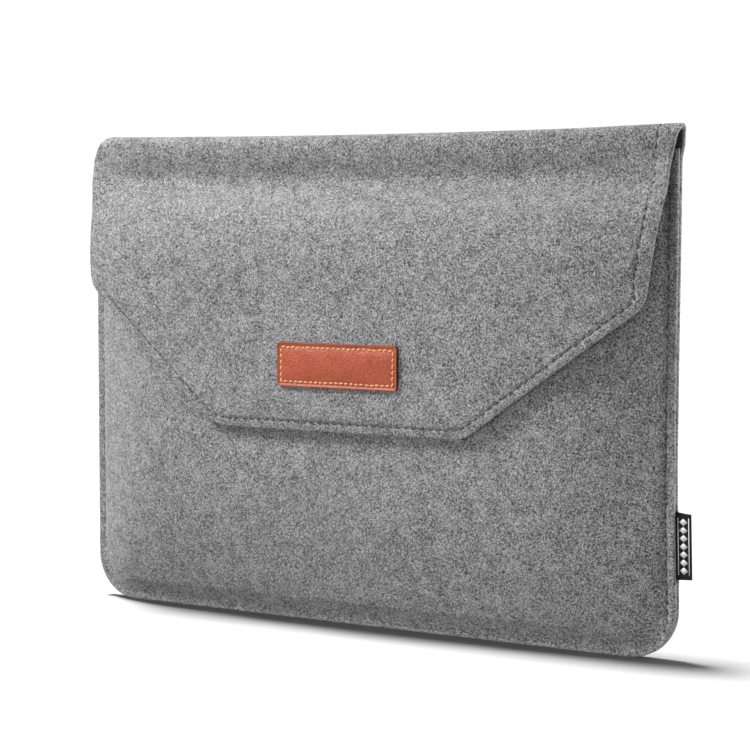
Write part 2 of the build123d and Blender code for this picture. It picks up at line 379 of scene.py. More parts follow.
def distance_to(line, x, z):
    """How far points are from a polyline in the right half, and from its mirror image."""
    p = np.stack([np.abs(x), z], axis=-1)
    best = np.full(p.shape[:-1], 1e9)
    for a, b in zip(line[:-1], line[1:]):
        ab = b - a
        if ab @ ab < 1e-9:
            continue
        t = np.clip(((p - a) @ ab) / (ab @ ab), 0, 1)
        best = np.minimum(best, np.linalg.norm(p - a - t[..., None] * ab, axis=-1))
    return best


# Distances from a cut edge: close together round the soft edge itself, and again at the stitches.
FINE = [0, 0.12, 0.4, 0.9, 1.5, 2.3, 3.1, 3.7, 4.1, 4.5, 5.0, 5.6, 6.1, 6.5, 6.9, 7.4, 8.2, 9.2]
FINE = np.array(FINE)


def rows(start, end, step, fine=()):
    """Values from start to end, closer together at the cut edges that fine names."""
    length = abs(end - start)
    low = FINE if "start" in fine else FINE[:1]
    high = FINE if "end" in fine else FINE[:1]
    count = max(2, int(round((length - low[-1] - high[-1]) / step)) + 1)
    inner = np.linspace(low[-1], length - high[-1], count)
    steps = np.concatenate([low[:-1], inner, length - high[::-1][1:]])
    return start + np.sign(end - start) * steps


def columns(step):
    """Shares of the half-width from -1 to 1, finer towards both edges."""
    return rows(-HALF_WIDTH, HALF_WIDTH, step, ("start", "end")) / HALF_WIDTH


# --- Mesh making ---


def normals_of(grid):
    du = np.gradient(grid, axis=1)
    dv = np.gradient(grid, axis=0)
    n = np.cross(dv, du)
    return n / np.maximum(np.linalg.norm(n, axis=-1, keepdims=True), 1e-9)


def plump(edge, thick):
    """Half the thickness, which a soft cut edge rounds down to half as much."""
    t = np.clip(edge / 1.1, 0, 1)
    return thick / 2 * (0.5 + 0.5 * np.sqrt(1 - (1 - t) ** 2))


def place(name, data):
    obj = bpy.data.objects.new(name, data)
    bpy.context.scene.collection.objects.link(obj)
    return obj


def add_mesh(name, points, faces, material, rest=None, sharp=None, **shares):
    """A piece with a rest position for its textures, and any other value for each point."""
    mesh = bpy.data.meshes.new(name)
    mesh.from_pydata([tuple(p) for p in points], [], [tuple(int(i) for i in f) for f in faces])
    mesh.update()
    mesh.polygons.foreach_set("use_smooth", np.ones(len(mesh.polygons), bool))
    layer = mesh.attributes.new("rest", "FLOAT_VECTOR", "POINT")
    rest = points if rest is None else rest
    layer.data.foreach_set("vector", np.asarray(rest, np.float32).ravel())
    for key, values in shares.items():
        share = mesh.attributes.new(key, "FLOAT", "POINT")
        share.data.foreach_set("value", np.asarray(values, np.float32).ravel())
    if sharp is not None:
        keys = {tuple(sorted(e)) for e in sharp}
        flags = np.array([tuple(sorted(e.vertices)) in keys for e in mesh.edges], bool)
        attribute = mesh.attributes.new("sharp_edge", "BOOLEAN", "EDGE")
        attribute.data.foreach_set("value", flags)
    mesh.materials.append(material)
    return place(name, mesh)


def solid(name, outer, inner, material, cuts=(), **shares):
    """A closed sheet between two grids of points. cuts are the rows that meet another piece."""
    rows, cols, _ = outer.shape
    count = rows * cols
    index = np.arange(count).reshape(rows, cols)
    quads = np.stack([index[:-1, :-1], index[1:, :-1], index[1:, 1:], index[:-1, 1:]], axis=-1)
    quads = quads.reshape(-1, 4)
    back = quads[:, ::-1] + count
    ring = np.concatenate([index[0, :-1], index[:-1, -1], index[-1, :0:-1], index[:0:-1, 0]])
    after = np.roll(ring, -1)
    rim = np.stack([ring, after, after + count, ring + count], axis=-1)
    points = np.concatenate([outer.reshape(-1, 3), inner.reshape(-1, 3)])
    sharp = []
    for row in cuts:
        line = index[row]
        for side in (line, line + count):
            sharp += list(zip(side[:-1].tolist(), side[1:].tolist()))
    shares = {key: np.concatenate([values.ravel(), values.ravel()]) for key, values in shares.items()}
    return add_mesh(name, points, np.concatenate([quads, back, rim]), material, sharp=sharp, **shares)


def layer_pair(grid, edge, start, end):
    """The two faces of one layer of a sheet, from start to end millimetres under its outer face."""
    n = normals_of(grid)
    middle = grid - n * ((start + end + 0 * edge) / 2 * MM)[..., None]
    half = plump(edge, end - start)[..., None] * MM
    return middle + n * half, middle - n * half


# --- Materials ---


class Nodes:
    """A short way to write a node material."""

    def __init__(self, name):
        self.material = bpy.data.materials.new(name)
        self.material.use_nodes = True
        self.tree = self.material.node_tree
        self.shader = self.tree.nodes["Principled BSDF"]
        self.rest = self.add("ShaderNodeAttribute", attribute_name="rest").outputs["Vector"]

    def add(self, kind, inputs=None, **settings):
        node = self.tree.nodes.new(kind)
        for key, value in settings.items():
            setattr(node, key, value)
        for key, value in (inputs or {}).items():
            self.put(node.inputs[key], value)
        return node

    def put(self, socket, value):
        if isinstance(value, bpy.types.NodeSocket):
            self.tree.links.new(value, socket)
        else:
            socket.default_value = value

    def set(self, **values):
        for key, value in values.items():
            self.put(self.shader.inputs[key.replace("_", " ")], value)

    def attribute(self, name):
        return self.add("ShaderNodeAttribute", attribute_name=name).outputs["Fac"]

    def maths(self, operation, a, b=0.0, c=0.0):
        return self.add("ShaderNodeMath", {0: a, 1: b, 2: c}, operation=operation).outputs[0]

    def vectors(self, operation, inputs):
        return self.add("ShaderNodeVectorMath", inputs, operation=operation).outputs[0]

    def stretch(self, vector, size, turn):
        """Turned, mostly about the depth axis, then divided by a size along each axis."""
        inputs = {"Vector": vector, "Scale": size, "Rotation": (0.3 * turn, turn, 0.0)}
        return self.add("ShaderNodeMapping", inputs, vector_type="TEXTURE").outputs[0]

    def noise(self, vector, scale, detail=2.0, roughness=0.5):
        inputs = {"Vector": vector, "Scale": scale, "Detail": detail, "Roughness": roughness}
        return self.add("ShaderNodeTexNoise", inputs).outputs["Fac"]

    def waves(self, scale, distortion, direction, **more):
        inputs = {"Vector": self.rest, "Scale": scale, "Distortion": distortion, **more}
        return self.add("ShaderNodeTexWave", inputs, bands_direction=direction).outputs["Fac"]

    def between(self, value, low, high):
        inputs = {"Value": value, "From Min": low, "From Max": high}
        return self.add("ShaderNodeMapRange", inputs).outputs[0]

    def ramp(self, value, stops):
        node = self.add("ShaderNodeValToRGB", {"Fac": value})
        ramp = node.color_ramp
        while len(ramp.elements) < len(stops):
            ramp.elements.new(0.5)
        for element, (at, colour) in zip(ramp.elements, stops):
            element.position = at
            element.color = (*colour, 1.0)
        return node.outputs["Color"]

    def mix(self, share, a, b):
        node = self.add("ShaderNodeMix", data_type="RGBA")
        self.put(node.inputs[0], share)
        self.put(node.inputs[6], a)
        self.put(node.inputs[7], b)
        return node.outputs[2]

    def bump(self, height, strength, distance):
        inputs = {"Height": height, "Strength": strength, "Distance": distance}
        return self.add("ShaderNodeBump", inputs).outputs[0]


def grey(v):
    return (v, v, v)


def felt(name, dark, light):
    """Heathered wool felt: curled light and dark fibres lying every way, over a soft mottle."""
    m = Nodes(name)
    curl = m.add("ShaderNodeTexNoise", {"Vector": m.rest, "Scale": 700.0, "Detail": 1.0})
    pull = m.vectors("SUBTRACT", {0: curl.outputs["Color"], 1: (0.5, 0.5, 0.5)})
    pull = m.vectors("SCALE", {0: pull, "Scale": 0.0026})
    bent = m.vectors("ADD", {0: m.rest, 1: pull})
    pale_size, deep_size = (0.0013, 0.0005, 0.00026), (0.0011, 0.0005, 0.0003)
    pale = [m.noise(m.stretch(bent, pale_size, turn), 1.0, 1.0) for turn in (0.2, 1.2, 2.3)]
    deep = [m.noise(m.stretch(bent, deep_size, turn), 1.0, 1.0) for turn in (0.7, 1.8, 2.8)]
    fibres = m.maths("MAXIMUM", pale[0], m.maths("MAXIMUM", pale[1], pale[2]))
    gaps = m.maths("MINIMUM", deep[0], m.maths("MINIMUM", deep[1], deep[2]))
    grain = m.noise(m.rest, 1800.0, 2.0, 0.7)
    mottle = m.noise(m.rest, 140.0, 4.0, 0.65)
    value = m.maths("MULTIPLY", m.between(fibres, 0.50, 0.80), 0.62)
    value = m.maths("MULTIPLY_ADD", m.between(gaps, 0.20, 0.48), 0.42, value)
    value = m.maths("MULTIPLY_ADD", m.maths("SUBTRACT", grain, 0.5), 0.55, value)
    value = m.maths("MULTIPLY_ADD", m.maths("SUBTRACT", mottle, 0.5), 0.30, value)
    value = m.maths("MULTIPLY_ADD", m.maths("SUBTRACT", value, 0.52), 6.6, 0.5)  # contrast
    near_edge = m.between(m.attribute("edge"), 1.1, 0.1)
    stitch_groove_shade = m.between(m.attribute("seam"), 0.9, 0.1)
    # Lighter along the cut edges, broken up by the grain: worn fibres there, and a painted highlight for
    # their fuzz catching the light.
    wear_and_edge_highlight = m.maths("MULTIPLY", near_edge, m.between(grain, 0.35, 0.6))
    value = m.maths("MULTIPLY_ADD", wear_and_edge_highlight, 0.35, value)
    # Painted shade: darker along each row of stitches, in the groove they draw in, and less where they
    # pull less.
    value = m.maths("MULTIPLY_ADD", stitch_groove_shade, -0.1, value)
    tones = [(0.0, dark * 0.45), (0.3, dark), (0.62, (dark + light) / 2), (0.95, light)]
    colour = m.ramp(value, [(at, grey(tone)) for at, tone in tones])
    height = m.maths("ADD", fibres, m.maths("MULTIPLY", gaps, 0.6))
    m.set(Base_Color=colour, Roughness=0.95, Normal=m.bump(height, 0.6, 0.0004))
    m.set(Specular_IOR_Level=0.1, Sheen_Weight=0.3, Sheen_Roughness=0.5)
    return m.material


def plush(name, tone):
    """Short brushed pile."""
    m = Nodes(name)
    pile = m.noise(m.rest, 900.0, 4.0, 0.7)
    patches = m.noise(m.rest, 60.0, 2.0, 0.5)
    value = m.maths("ADD", m.maths("MULTIPLY", pile, 0.7), m.maths("MULTIPLY", patches, 0.3))
    colour = m.ramp(value, [(0.3, grey(tone * 0.45)), (0.55, grey(tone)), (0.75, grey(tone * 1.7))])
    m.set(Base_Color=colour, Roughness=1.0, Normal=m.bump(pile, 0.6, 0.0006))
    m.set(Specular_IOR_Level=0.1, Sheen_Weight=0.45, Sheen_Roughness=0.5)
    return m.material


def leather(name):
    """Smooth tan leather with a fine pebble grain, and a near-black cut edge: edge paint, which also
    serves as painted shade for the dark outline round the patch.
    """
    m = Nodes(name)
    cells = m.add("ShaderNodeTexVoronoi", {"Vector": m.rest, "Scale": 1100.0}, feature="F1")
    fine = m.noise(m.rest, 2600.0, 3.0, 0.6)
    tone = m.noise(m.rest, 130.0, 3.0, 0.55)
    tans = [(0.3, (0.33, 0.055, 0.020)), (0.5, (0.39, 0.070, 0.027)), (0.7, (0.44, 0.088, 0.036))]
    colour = m.ramp(tone, tans)
    pits = m.between(cells.outputs["Distance"], 0.1, 0.6)
    pit_tans = [(0.0, (0.52, 0.15, 0.075)), (1.0, (0.24, 0.035, 0.014))]
    colour = m.mix(0.45, colour, m.ramp(pits, pit_tans))
    # Near-black at the cut edge: edge paint, and painted shade for the patch's dark outline.
    colour = m.mix(m.between(m.attribute("edge"), 0.2, 0.04), colour, (0.02, 0.008, 0.005, 1.0))
    height = m.maths("ADD", m.maths("MULTIPLY", pits, -0.6), m.maths("MULTIPLY", fine, 0.5))
    rough = m.maths("MULTIPLY_ADD", fine, 0.2, 0.38)
    m.set(Base_Color=colour, Roughness=rough, Normal=m.bump(height, 0.8, 0.00025))
    m.set(Specular_IOR_Level=0.4)
    return m.material


def thread(name, colour, dark, sheen=0.2, hole_shade_length=0.0):
    """Twisted sewing thread: slanting plies, and painted shade over as many millimetres of each end as the
    last argument gives, where it goes down into the cloth.
    """
    m = Nodes(name)
    plies = m.waves(420.0, 1.5, "DIAGONAL", Detail=1.0)
    wear = m.noise(m.rest, 300.0, 2.0)
    base = m.mix(plies, (*dark, 1.0), (*colour, 1.0))
    base = m.mix(m.maths("MULTIPLY", wear, 0.3), base, (*dark, 1.0))
    if hole_shade_length:
        # Painted shade: the ends, where the thread goes down into its needle holes, turn nearly black.
        painted_end_shade = m.between(m.attribute("edge"), hole_shade_length, 0.4 * hole_shade_length)
        base = m.mix(painted_end_shade, base, (0.01, 0.008, 0.006, 1.0))
    m.set(Base_Color=base, Roughness=0.6, Normal=m.bump(plies, 0.6, 0.00015))
    m.set(Sheen_Weight=sheen, Specular_IOR_Level=0.3)
    return m.material


def ribbon(name, tone):
    """A tight satin weave."""
    m = Nodes(name)
    cloth = m.maths("MULTIPLY", m.waves(900.0, 0.3, "X"), m.waves(1300.0, 0.3, "Z"))
    dust = m.noise(m.rest, 500.0, 3.0)
    value = m.maths("MULTIPLY_ADD", dust, 0.4, m.maths("MULTIPLY", cloth, 0.6))
    colour = m.ramp(value, [(0.2, grey(tone * 0.5)), (0.8, grey(tone * 1.8))])
    m.set(Base_Color=colour, Roughness=0.65, Normal=m.bump(cloth, 0.4, 0.0001))
    m.set(Specular_IOR_Level=0.2)
    return m.material


def nylon(name, tone):
    """Woven nylon tape."""
    m = Nodes(name)
    weave = m.add("ShaderNodeTexChecker", {"Vector": m.rest, "Scale": 1600.0}).outputs["Fac"]
    dust = m.noise(m.rest, 700.0, 3.0)
    value = m.maths("MULTIPLY_ADD", dust, 0.6, m.maths("MULTIPLY", weave, 0.3))
    colour = m.ramp(value, [(0.2, grey(tone * 0.6)), (0.8, grey(tone * 2.0))])
    m.set(Base_Color=colour, Roughness=0.5, Normal=m.bump(value, 0.4, 0.0002))
    return m.material


FELT_M = felt("grey_felt", 0.088, 0.475)
PLUSH_M = plush("plush_lining", 0.06)
LEATHER_M = leather("tan_leather")
GOLD_M = thread("tan_thread", (0.90, 0.52, 0.25), (0.58, 0.26, 0.09), hole_shade_length=0.7)
THREAD_M = thread("grey_thread", grey(0.10), grey(0.04), 0.1, hole_shade_length=1.0)
BLACK_THREAD_M = thread("black_thread", grey(0.03), grey(0.008), 0.1)
RIBBON_M = ribbon("black_ribbon", 0.005)
WHITE_M = thread("white_thread", grey(0.85), grey(0.65), 0.1)
TAPE_M = nylon("tape", 0.02)
PILE_M = thread("tape_pile", grey(0.05), grey(0.015), 0.1)


# --- Sheets ---


# Each grid comes with its points' distance from the cut edges, how far in the stitches are, and
# how hard they pull.


def back_grid(step, inset=0.0):
    """The back sheet's outer face, with the first part of the roll."""
    s = np.concatenate([rows(0, ROLL_Z, step, ("start",))[:-1], rows(ROLL_Z, BACK_END, 0.35)])
    half = panel_half_width(np.minimum(s, 250.0))[:, None] - inset
    s = np.maximum(s, inset)[:, None]
    u = columns(step)[None, :]
    half = half + flare(u, s)
    x = u * half
    edge = np.minimum(half - np.abs(x), s - inset)
    corner = np.where(s < 200, seam_distance(x, s) - inset, edge)
    return sheet_point(x, s), np.clip(np.minimum(edge, corner), 0, None), seam_inset(s + 0 * x), 1.0


def top_grid(step, high, low, inset=0.0):
    """The sheet between two unrolled heights: the rest of the roll, or the flap."""
    bottom = low <= FLAP_BOTTOM
    h = rows(high, low + (inset if bottom else 0), step, ("end",) if bottom else ())
    u = columns(step)[None, :]
    above = np.maximum(h, FLAP_BOTTOM + inset)
    right, left = (flap_half_width(above, side)[:, None] - inset for side in (1, -1))
    nominal = np.where(u > 0, right, left)
    h = h[:, None]
    right, left = (distance_to(FLAP_EDGES[side], u * nominal, h + 0 * u) - inset for side in (1, -1))
    edge = np.clip(np.where(u > 0, right, left), 0, None)
    s = UNROLLED - h
    x = u * (nominal + flare(u, s)) + drift(s)
    return sheet_point(x, s), edge, stitch_inset(u, s), grip(u, s)


def panel_grid(step, inset=0.0):
    """The front panel's outer face. Its stitches pull least along the bottom and up the left."""
    up = rows(0, MOUTH_Z, step, ("start", "end"))
    half = panel_half_width(up)[:, None] - inset
    x = columns(step)[None, :] * half
    z0 = np.maximum(up[:, None] + np.zeros_like(x), inset)
    z = z0 + (mouth_z(x) - MOUTH_Z) * smooth((z0 - 140) / (MOUTH_Z - 140))
    seam = np.minimum(seam_distance(x, z0), seam_distance(x, z)) - inset
    edge = np.clip(np.minimum(seam, mouth_z(x) - z), 0, None)
    pull = (0.25 + 0.75 * border(z)) * np.where(x < 0, 0.5, 1.0)
    return panel_point(x, z), edge, seam_inset(z), pull


def groove(grid, edge, inset, strength):
    """The outer face, drawn in by up to half a millimetre along a row of stitches."""
    pull = strength * 0.5 * np.exp(-(((edge - inset) / 0.8) ** 2)) * MM
    return grid - normals_of(grid) * pull[..., None]


def sheet_layers(name, felt_grid, lining_grid, cuts=()):
    """The felt and its lining, as two closed layers. The seams squeeze the lining."""
    grid, edge, stitch, strength = felt_grid
    lining_grid, lining_edge = lining_grid[:2]
    outer, _ = layer_pair(groove(grid, edge, stitch, strength), edge, 0, FELT)
    _, inner = layer_pair(grid, edge, 0, FELT)
    # Distance from the row of stitches, made larger where they pull less; the felt material paints shade
    # in the stitch groove by it.
    seam = np.abs(edge - stitch) + 2 * (1 - strength)
    felt_piece = solid(f"{name}_felt_sheet", outer, inner, FELT_M, cuts, edge=edge, seam=seam)
    squeeze = pressed(lining_edge) * smooth((SEAM_TOP + 2 - lining_grid[..., 2] * 1000) / 6)
    outer, inner = layer_pair(lining_grid, lining_edge, FELT + 0.02, PLY - squeeze)
    lining_piece = solid(f"{name}_lining_sheet", outer, inner, PLUSH_M, cuts)
    return felt_piece, lining_piece


back = back_grid(1.8), back_grid(3.2, LINING_INSET)
back_felt, back_lining = sheet_layers("back", *back, cuts=(-1,))
top_span = (UNROLLED - BACK_END, ROOF_SPLIT_Z)
top = top_grid(0.8, *top_span), top_grid(1.2, *top_span, LINING_INSET)
top_felt, top_lining = sheet_layers("top", *top, cuts=(0, -1))
flap_span = (ROOF_SPLIT_Z, FLAP_BOTTOM)
flap = top_grid(1.1, *flap_span), top_grid(2.4, *flap_span, LINING_INSET)
flap_felt, flap_lining = sheet_layers("flap", *flap, cuts=(0,))


def turned_over(grids):
    """The front panel's rows run up, so they are taken the other way for its normals to face out."""
    return tuple(grid[::-1] for grid in grids)


front = turned_over(panel_grid(1.4)), turned_over(panel_grid(2.6, LINING_INSET))
front_felt, front_lining = sheet_layers("front", *front)


# --- Threads ---


def tubes(name, lines, ups, radii, sides, material):
    """Many short closed tubes in one mesh. lines and ups are (count, points, 3)."""
    count, points, _ = lines.shape
    t = unit(np.gradient(lines, axis=1))
    b = unit(np.cross(t, ups))
    n = np.cross(b, t)
    angle = np.linspace(0, 2 * math.pi, sides, endpoint=False)
    around = np.cos(angle)[:, None] * n[:, :, None] + np.sin(angle)[:, None] * b[:, :, None]
    radii = np.asarray(radii)[None, :, None, None] * MM
    ring = lines[:, :, None] + around * radii
    run = np.linalg.norm(np.diff(lines, axis=1), axis=-1)
    along = np.concatenate([np.zeros((count, 1)), np.cumsum(run, axis=1)], axis=1)
    rest = np.zeros(ring.shape)
    rest[..., 0] = along[:, :, None] + np.arange(count)[:, None, None] * 0.0047
    rest[..., 1] = angle * 0.0003
    index = np.arange(count * points * sides).reshape(count, points, sides)
    after = np.roll(index, -1, axis=2)
    quads = np.stack([index[:, :-1], after[:, :-1], after[:, 1:], index[:, 1:]], axis=-1)
    quads = quads.reshape(-1, 4)
    caps = [tuple(c) for c in index[:, 0, ::-1]] + [tuple(c) for c in index[:, -1]]
    faces = [tuple(q) for q in quads] + caps
    to_end = np.minimum(along, along[:, -1:] - along) * 1000
    edge = np.repeat(to_end[:, :, None], sides, axis=2)
    return add_mesh(name, ring.reshape(-1, 3), faces, material, rest=rest.reshape(-1, 3), edge=edge)


def lengths_along(points):
    """How far each point of a polyline is from its start."""
    return np.concatenate([[0], np.cumsum(np.linalg.norm(np.diff(points, axis=0), axis=1))])


def resample(points, normals, at):
    """Points and normals at given distances along a polyline."""
    along = lengths_along(points)
    pick = [np.interp(at, along, c) for c in np.concatenate([points, normals], axis=1).T]
    both = np.stack(pick, axis=-1)
    return both[..., :3], both[..., 3:]


def stitches(name, paths, material, pitch=PITCH, gap=1.6, radius=0.36, rise=0.22, seed=3):
    """Rows of bent stitches, a little uneven, whose ends go down into the cloth."""
    chance = np.random.default_rng(seed)
    t = np.linspace(0, 1, 7)
    lines, ups = [], []
    for points, normals in paths:
        length = np.linalg.norm(np.diff(points, axis=0), axis=1).sum() * 1000
        count = int(length / pitch)
        step = length / count
        first = (np.arange(count) + 0.5) * step + chance.normal(0, 0.1, count)
        span = (step - gap) * (1 + chance.normal(0, 0.04, count))
        at = (first[:, None] + (t - 0.5) * span[:, None]) * MM
        p, n = resample(points, normals, at)
        sideways = unit(np.cross(np.gradient(p, axis=1), n))
        p = p + sideways * chance.normal(0, 0.1, (count, 1, 1)) * MM
        height = -STITCH_SINK + (STITCH_SINK + rise) * np.sin(math.pi * t) ** 0.7
        lines.append(p + n * height[:, None] * MM)
        ups.append(n)
    radii = radius * (0.75 + 0.25 * np.sin(math.pi * t))
    return tubes(name, np.concatenate(lines), np.concatenate(ups), radii, 7, material)


def dense(points, step=0.4):
    """A polyline with a point about every step."""
    points = np.array(points, float)
    along = lengths_along(points)
    at = np.linspace(0, along[-1], int(along[-1] / step) + 2)
    return np.interp(at, along, points[:, 0]), np.interp(at, along, points[:, 1])


def inward(line, distance):
    """A polyline moved to its left."""
    t = unit(np.gradient(line, axis=0))
    return line + np.stack([t[:, 1], -t[:, 0]], axis=1) * distance


def both_faces(point, x, v, side=1.0, sunk=0.32):
    """A row on the outer face, drawn in as the felt is, and the same row on the inner face."""
    p, n = surface(point, x, v, side)
    return [(p - n * sunk * MM, n), (p - n * PLY * MM, -n)]


def seam_threads():
    half, r = HALF_WIDTH, CORNER_R
    edge = rounded([(-half, SEAM_TOP - 3), (-half, 0), (half, 0), (half, SEAM_TOP - 3)], [0, r, r, 0])
    edge = np.stack(dense(edge), axis=1)
    x, z = inward(edge, -seam_inset(edge[:, 1])[:, None]).T
    front, n_front = surface(panel_point, x, z, -1.0)
    back, n_back = surface(sheet_point, x, z)
    sunk = 0.45 * MM
    paths = [(front - n_front * sunk, n_front), (back - n_back * sunk, n_back)]
    return stitches("side_seam_stitches", paths, THREAD_M)


def mouth_threads():
    x = np.linspace(-160, 160, 800)
    paths = both_faces(panel_point, x, mouth_z(x) - MOUTH_STITCH_INSET, -1.0, 0.1)
    return stitches("mouth_stitches", paths, THREAD_M, seed=5)


def flap_threads():
    """The row along the flap's edge, in two lengths, one on each side of where its sheets meet."""
    halves = {}
    for side in (1, -1):
        line = np.stack(dense(FLAP_EDGES[side], 0.8), axis=1)
        inset = stitch_inset(-1, UNROLLED - line[:, 1])
        half = inward(line, inset[:, None])
        halves[side] = half[half[:, 0] > 0] * (side, 1)
    x, h = dense(np.concatenate([halves[-1], halves[1][::-1]]))
    s = UNROLLED - h
    x = np.where(x < 0, x - flare(x, s), x) + drift(s)

    def paths(keep):
        parts = np.split(np.arange(len(h)), np.flatnonzero(np.diff(keep.astype(int))) + 1)
        found = []
        for part in parts:
            if keep[part[0]] and len(part) > 8:
                found += both_faces(sheet_point, x[part], s[part])
        return found

    high = (h > ROOF_SPLIT_Z + 0.5) & (h < UNROLLED - BACK_END - 1)
    return (
        stitches("top_edge_stitches", paths(high), THREAD_M, seed=7),
        stitches("flap_edge_stitches", paths(h < ROOF_SPLIT_Z - 0.5), THREAD_M, seed=8),
    )


side_seam_stitches = seam_threads()
mouth_stitches = mouth_threads()
top_edge_stitches, flap_edge_stitches = flap_threads()


# --- Patch, tapes and label ---


def plate_rows(half, step):
    """Values from -half to half, closer together at both edges."""
    fine = np.array([0, 0.08, 0.25, 0.5, 0.85, 1.3])
    inner = np.linspace(1.9, 2 * half - 1.9, int((2 * half - 3.8) / step) + 1)
    return np.concatenate([fine, inner, 2 * half - fine[::-1]]) - half


def plate_grid(shape, x0, step):
    """A grid over a rectangle with round corners, and its distance from the edge."""
    w, h, r = shape["width"] / 2, shape["height"] / 2, shape["corner"]
    up, across = plate_rows(h, step), plate_rows(w, step)
    drop = np.clip(np.abs(up) - (h - r), 0, r)
    half = w - r + np.sqrt(np.maximum(r * r - drop * drop, 0))
    x = (across / w)[None, :] * half[::-1, None]
    z = up[::-1, None] + np.zeros_like(x)
    a, b = np.abs(x) - (w - r), np.abs(z) - (h - r)
    from_corner = r - np.hypot(np.maximum(a, 0), np.maximum(b, 0))
    edge = np.where((a > 0) & (b > 0), from_corner, np.minimum(r - a, r - b))
    return x + x0, z + shape["z"], np.clip(edge, 0, None)


def flap_surface(x, z):
    return surface(sheet_point, x, UNROLLED - z, e=0.8)


def rectangle_path(shape, x0, inset):
    """A closed stitch path round a plate."""
    w, h, r = shape["width"] / 2 - inset, shape["height"] / 2 - inset, 0.6
    z = shape["z"]
    corners = [(0, h), (w, h), (w, -h), (-w, -h), (-w, h), (0, h)]
    line = rounded(corners, [0, r, r, r, r, 0], steps=4) + (x0, z)
    return dense(line, 0.2)


def patch_height(edge):
    """The leather stands up at its rim, slopes down to its stitches and pillows in the middle."""
    slope_end = PATCH_STITCH_INSET - 0.2
    rim = 0.7 + 1.1 * np.sqrt(1 - (1 - np.clip(edge / 0.35, 0, 1)) ** 2)
    slope = -0.52 * np.clip(edge, 0, slope_end)
    pillow = 1.3 * np.sqrt(1 - (1 - np.clip((edge - slope_end) / 7.5, 0, 1)) ** 2)
    return rim + slope + pillow


def leather_patch():
    x, z, edge = plate_grid(PATCH, PATCH["x"], 0.8)
    p, n = flap_surface(x, z)
    top = p + n * patch_height(edge)[..., None] * MM
    patch = solid("leather_patch_sheet", top, p - n * 0.0001, LEATHER_M, edge=edge)
    x, z = rectangle_path(PATCH, PATCH["x"], PATCH_STITCH_INSET)
    p, n = flap_surface(x, z)
    path = (p + n * 0.00078, n)
    look = dict(pitch=3.0, gap=0.55, radius=0.52, rise=0.4, seed=11)
    return patch, stitches("patch_stitches", [path], GOLD_M, **look)


def tape_plates(name, face):
    """Two woven backings, one at each side. face gives the surface that they are sewn to."""
    made = []
    for side, x0 in zip(SIDES, TAPE_XS):
        x, z, edge = plate_grid(TAPE, x0, 1.0)
        p, n = face(x, z)
        height = 0.35 + 0.25 * np.clip(edge / 0.5, 0, 1)
        top = p + n * height[..., None] * MM
        made.append(solid(f"{name}_{side}_backing", top, p - n * 0.00005, TAPE_M))
    return made


def scattered(x0, spacing, chance, jitter):
    """Places over a tape, in rows that are a little uneven."""
    w, h = TAPE["width"] / 2 - 3.4, TAPE["height"] / 2 - 3.4
    gx, gz = np.meshgrid(np.arange(-w, w, spacing), np.arange(-h, h, spacing))
    shift = chance.normal(0, jitter, (2, gx.size))
    return gx.ravel() + x0 + shift[0], gz.ravel() + TAPE["z"] + shift[1]


def pile(name, face, x0, shape, spacing, jitter, radius, seed):
    """A tape's hooks or loops: the same small wire, standing all over it. Loops stand unevenly."""
    chance = np.random.default_rng(seed)
    x, z = scattered(x0, spacing, chance, jitter)
    p, n = face(x, z)
    if jitter > 0.2:
        turn = chance.uniform(0, 2 * math.pi, len(x))
    else:
        turn = np.where(np.arange(len(x)) % 2, 0.0, math.pi)
    flat = np.stack([np.cos(turn), np.zeros(len(x)), np.sin(turn)], axis=-1)
    flat = unit(flat - n * np.sum(flat * n, axis=-1, keepdims=True))
    size = 1 + chance.normal(0, 0.08, len(x))
    across, up = np.array(shape).T * MM
    lines = p[:, None] + (flat[:, None] * across[:, None] + n[:, None] * up[:, None]) * size[:, None, None]
    ups = np.broadcast_to(np.cross(flat, n)[:, None], lines.shape)
    return tubes(name, lines, ups, np.full(len(shape), radius), 5, PILE_M)


# One hook and one loop, as (along, up).
HOOK = [(0.0, 0.5), (0.0, 0.95), (0.08, 1.25), (0.3, 1.38), (0.48, 1.25), (0.52, 1.02)]
LOOP = [(-0.55, 0.5), (-0.5, 0.85), (-0.25, 1.15), (0.1, 1.2), (0.4, 1.0), (0.55, 0.5)]


def pocket_face(x, z):
    return surface(panel_point, x, z, -1.0, e=0.8)


def flap_inner_face(x, z):
    p, n = flap_surface(x, z)
    return p - n * PLY * MM, -n


def tapes(name, face, shape, spacing, jitter, radius, seed):
    backings = tape_plates(name, face)
    piles = [
        pile(f"{name}_{side}_pile", face, x0, shape, spacing, jitter, radius, seed + i)
        for i, (side, x0) in enumerate(zip(SIDES, TAPE_XS))
    ]
    paths = []
    for x0 in TAPE_XS:
        p, n = face(*rectangle_path(TAPE, x0, TAPE_STITCH_INSET))
        paths.append((p + n * 0.0006, n))
    look = dict(pitch=2.8, gap=0.7, radius=0.26, seed=seed)
    return backings, piles, stitches(f"{name}_stitches", paths, BLACK_THREAD_M, **look)


LABEL_OUT = 180.2  # where the ribbon's fold begins
LABEL_GAP = 0.42  # from the seam plane to the middle of each ply


def label_section():
    """The folded ribbon seen from above: out from the seam, round the fold and back."""
    straight = np.linspace(162.0, LABEL_OUT, 26)
    turn = np.linspace(0, math.pi, 9)[1:-1]
    x = np.concatenate([straight, LABEL_OUT + LABEL_GAP * np.sin(turn), straight[::-1]])
    flat = np.ones(len(straight))
    normal_x = np.concatenate([0 * flat, np.sin(turn), 0 * flat])
    normal_depth = np.concatenate([flat, np.cos(turn), -flat])
    return x, LABEL_GAP * normal_depth, normal_x, normal_depth


def label_bow(x):
    return 0.35 * smooth((x - 172) / 8)


